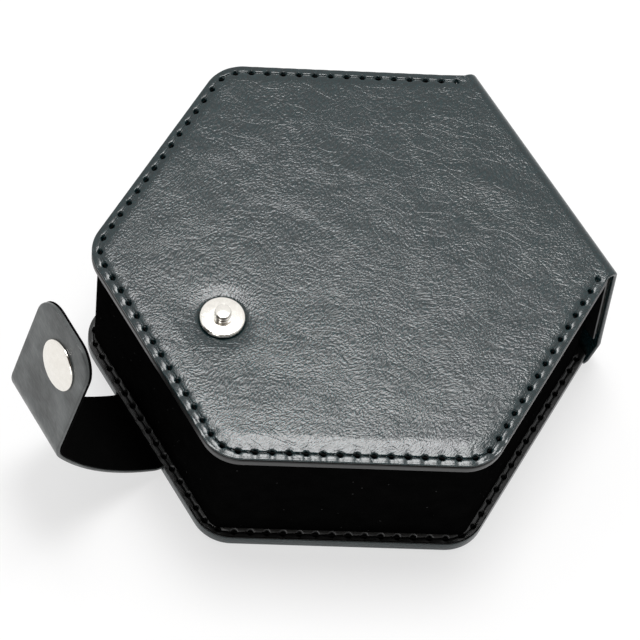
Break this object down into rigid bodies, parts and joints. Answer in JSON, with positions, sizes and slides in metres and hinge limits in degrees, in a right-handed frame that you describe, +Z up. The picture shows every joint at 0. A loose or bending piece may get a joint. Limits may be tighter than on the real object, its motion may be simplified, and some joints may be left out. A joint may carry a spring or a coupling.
{
  "type": "dice display box",
  "caption": "Hexagonal leather-covered box for dice, with a book spine, a velvet wall, an insert with wells and a strap that snaps over the lid.",
  "frame": {"origin": "middle of the hexagonal case on its underside, on the surface it stands on", "axes": "+Z up; +Y towards the spine; -Y towards the strap; +X to the right seen from the strap"},
  "size_m": [0.12, 0.138, 0.0675],
  "materials": {
    "cover_leather": "black pebbled polyurethane leather, semi-gloss",
    "lining_leather": "smooth black polyurethane leather with painted edges",
    "velvet": "black short-pile velvet",
    "suede": "black microfibre suede",
    "greyboard": "raw greyboard",
    "foam": "black closed-cell foam",
    "nickel": "nickel plate, polished",
    "spring_steel": "bright wire"
  },
  "bodies": {
    "case": {"base_cover": "cover_leather", "base_board": "greyboard", "base_lining": "lining_leather", "base_fold": "cover_leather", "wall_board": "greyboard", "wall_velvet": "velvet", "insert_base": "foam", "insert_block": "foam", "insert_cover": "velvet", "strap_tab_leather": "cover_leather", "strap_tab_lining": "suede", "strap_root_bend_leather": "cover_leather", "strap_root_bend_lining": "suede"},
    "spine": {"spine_leather": "cover_leather", "spine_board": "greyboard", "spine_lining": "lining_leather", "lid_fold": "cover_leather"},
    "lid": {"lid_cover": "cover_leather", "lid_board": "greyboard", "lid_lining": "lining_leather", "lid_pad_foam": "foam", "lid_pad_velvet": "velvet", "snap_stud": "nickel", "stud_eyelet": "nickel"},
    "strap_lower": {"strap_lower_leather": "cover_leather", "strap_lower_lining": "suede", "strap_crease_leather": "cover_leather", "strap_crease_lining": "suede"},
    "strap_tip": {"strap_tip_leather": "cover_leather", "strap_tip_lining": "suede", "snap_cap": "nickel", "snap_socket": "nickel", "snap_spring": "spring_steel"}
  },
  "joints": [
    {"name": "spine_hinge", "type": "hinge", "parent": "case", "child": "spine", "pos_m": [0, 0.05488, 0.0016], "axis": [-1, 0, 0], "range_deg": [0, 93.3], "deforming": ["base_fold"]},
    {"name": "lid_hinge", "type": "hinge", "parent": "spine", "child": "lid", "pos_m": [0, 0.05126, 0.0401], "axis": [-1, 0, 0], "range_deg": [0, 86.7], "deforming": ["lid_fold"]},
    {"name": "strap_root_bend", "type": "hinge", "parent": "case", "child": "strap_lower", "pos_m": [0, -0.05426, 0.0025], "axis": [-1, 0, 0], "range_deg": [-40, 38.75], "stiffness_Nm_per_rad": 0.02, "springref_deg": 2.01, "deforming": ["strap_root_bend_leather", "strap_root_bend_lining"]},
    {"name": "strap_crease_bend", "type": "hinge", "parent": "strap_lower", "child": "strap_tip", "pos_m": [0, -0.08057, 0.03768], "axis": [-1, 0, 0], "range_deg": [-50, 36.25], "stiffness_Nm_per_rad": 0.01, "springref_deg": -0.69, "deforming": ["strap_crease_leather", "strap_crease_lining"]}
  ]
}
